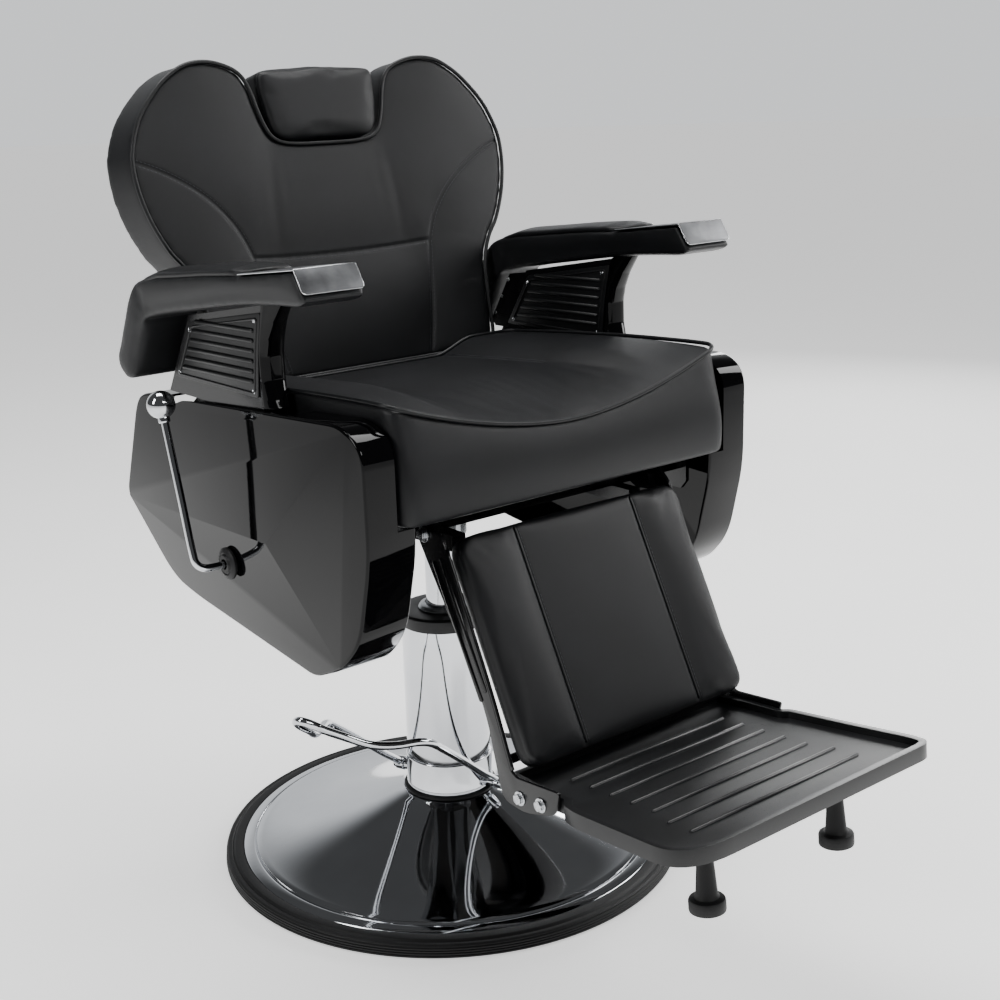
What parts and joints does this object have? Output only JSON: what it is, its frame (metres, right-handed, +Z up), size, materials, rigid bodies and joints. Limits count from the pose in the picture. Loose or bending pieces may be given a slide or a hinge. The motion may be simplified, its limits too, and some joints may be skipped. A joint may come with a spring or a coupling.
{
  "type": "hydraulic barber chair",
  "caption": "Hydraulic barber chair with a round chrome pump base, foot pedal, reclining back with headrest, padded armrests, side covers and a hinged leg rest with a foot tray.",
  "frame": {"origin": "centre of the pump's base plate, on the floor, on the column's axis", "axes": "+Z up along the column, the sitter faces -Y, the sitter's right hand and the recline lever are on the -X side"},
  "size_m": [0.7225, 1.0032, 1.1067],
  "materials": {
    "chrome": "polished chrome plate on steel",
    "bare_steel": "machined steel, lightly oiled",
    "brushed_cap": "brushed stainless with polished edges",
    "rubber": "moulded black rubber",
    "black_cap": "moulded black plastic",
    "gloss_shell": "glossy black moulded shell",
    "ribbed_insert": "satin black moulded plastic with ribs",
    "foot_tray": "satin black moulded tray",
    "black_steel": "black powder coat on pressed steel",
    "vinyl": "black satin leatherette",
    "plywood": "plain plywood"
  },
  "bodies": {
    "base": {"floor_ring": "rubber", "base_dome": "chrome", "pump_base_plate": "bare_steel", "pump_cylinder": "bare_steel", "collar_seal": "rubber", "pump_collar": "chrome", "column_shroud": "chrome", "column_cap": "black_cap", "ram_gland": "bare_steel"},
    "pedal": {"pump_pedal": "chrome"},
    "plunger": {"pump_plunger": "bare_steel"},
    "ram": {"ram": "chrome"},
    "seat": {"mount_socket": "bare_steel", "mount_plate": "black_steel", "seat_rail_right": "black_steel", "seat_rail_left": "black_steel", "cross_tube_front": "black_steel", "cross_tube_rear": "black_steel", "seat_board": "plywood", "seat_cushion": "vinyl", "side_frame_right": "black_steel", "side_frame_left": "black_steel", "leg_hinge_bolt_right": "chrome", "leg_hinge_bolt_left": "chrome", "arm_panel_right": "black_steel", "arm_panel_left": "black_steel", "arm_post_right": "gloss_shell", "arm_post_left": "gloss_shell", "arm_insert_outer_right": "ribbed_insert", "arm_insert_outer_left": "ribbed_insert", "arm_insert_inner_right": "ribbed_insert", "arm_insert_inner_left": "ribbed_insert", "arm_pad_right": "vinyl", "arm_pad_left": "vinyl", "arm_cap_right": "brushed_cap", "arm_cap_left": "brushed_cap", "side_cover_right": "gloss_shell", "side_cover_left": "gloss_shell", "lever_grommet": "rubber", "strut_cylinder": "black_steel"},
    "lever": {"lever_rod": "chrome", "lever_knob": "chrome"},
    "back": {"back_cushion": "vinyl", "back_board": "plywood", "back_strap_right": "black_steel", "back_strap_left": "black_steel", "recline_cross_tube": "black_steel"},
    "headrest": {"headrest_pillow": "vinyl", "headrest_frame": "chrome"},
    "strut_rod": {"strut_rod": "chrome"},
    "legrest": {"leg_bracket_right": "black_steel", "leg_bracket_left": "black_steel", "leg_cross_bar": "black_steel", "calf_cushion": "vinyl", "calf_board": "plywood", "foot_tray": "foot_tray", "tray_bolts_right": "chrome", "tray_bolts_left": "chrome", "anti_tip_foot_right": "rubber", "anti_tip_foot_left": "rubber"}
  },
  "joints": [
    {"name": "lift", "type": "slide", "parent": "base", "child": "ram", "axis": [0, 0, 1], "range_m": [-0.05, 0.09]},
    {"name": "swivel", "type": "hinge", "parent": "ram", "child": "seat", "pos_m": [0, 0, 0.5], "axis": [0, 0, 1], "continuous": true},
    {"name": "pedal_pump", "type": "hinge", "parent": "base", "child": "pedal", "pos_m": [0, 0, 0.103], "axis": [0.4003, -0.9164, 0], "range_deg": [0, 28], "stiffness_Nm_per_rad": 3, "springref_deg": -34.38},
    {"name": "plunger_stroke", "type": "slide", "parent": "base", "child": "plunger", "axis": [0, 0, -1], "range_m": [0, 0.006]},
    {"name": "recline", "type": "hinge", "parent": "seat", "child": "back", "pos_m": [0, 0.185, 0.64], "axis": [-1, 0, 0], "range_deg": [0, 45]},
    {"name": "leg_raise", "type": "hinge", "parent": "seat", "child": "legrest", "pos_m": [0, -0.226, 0.556], "axis": [-1, 0, 0], "range_deg": [0, 32]},
    {"name": "strut_stroke", "type": "slide", "parent": "seat", "child": "strut_rod", "axis": [0, -1, 0], "range_m": [0, 0.077]},
    {"name": "headrest_height", "type": "slide", "parent": "back", "child": "headrest", "axis": [0, 0.2046, 0.9788], "range_m": [0, 0.07]},
    {"name": "lever_pull", "type": "hinge", "parent": "seat", "child": "lever", "pos_m": [-0.312, 0.02, 0.492], "axis": [-1, 0, 0], "range_deg": [0, 20], "stiffness_Nm_per_rad": 3, "springref_deg": -28.65}
  ],
  "couplings": [
    {"joint": "plunger_stroke", "follows": "pedal_pump", "m_per_rad": 0.012},
    {"joint": "leg_raise", "follows": "recline", "ratio": 0.7},
    {"joint": "strut_stroke", "follows": "recline", "m_per_rad": 0.0965}
  ]
}
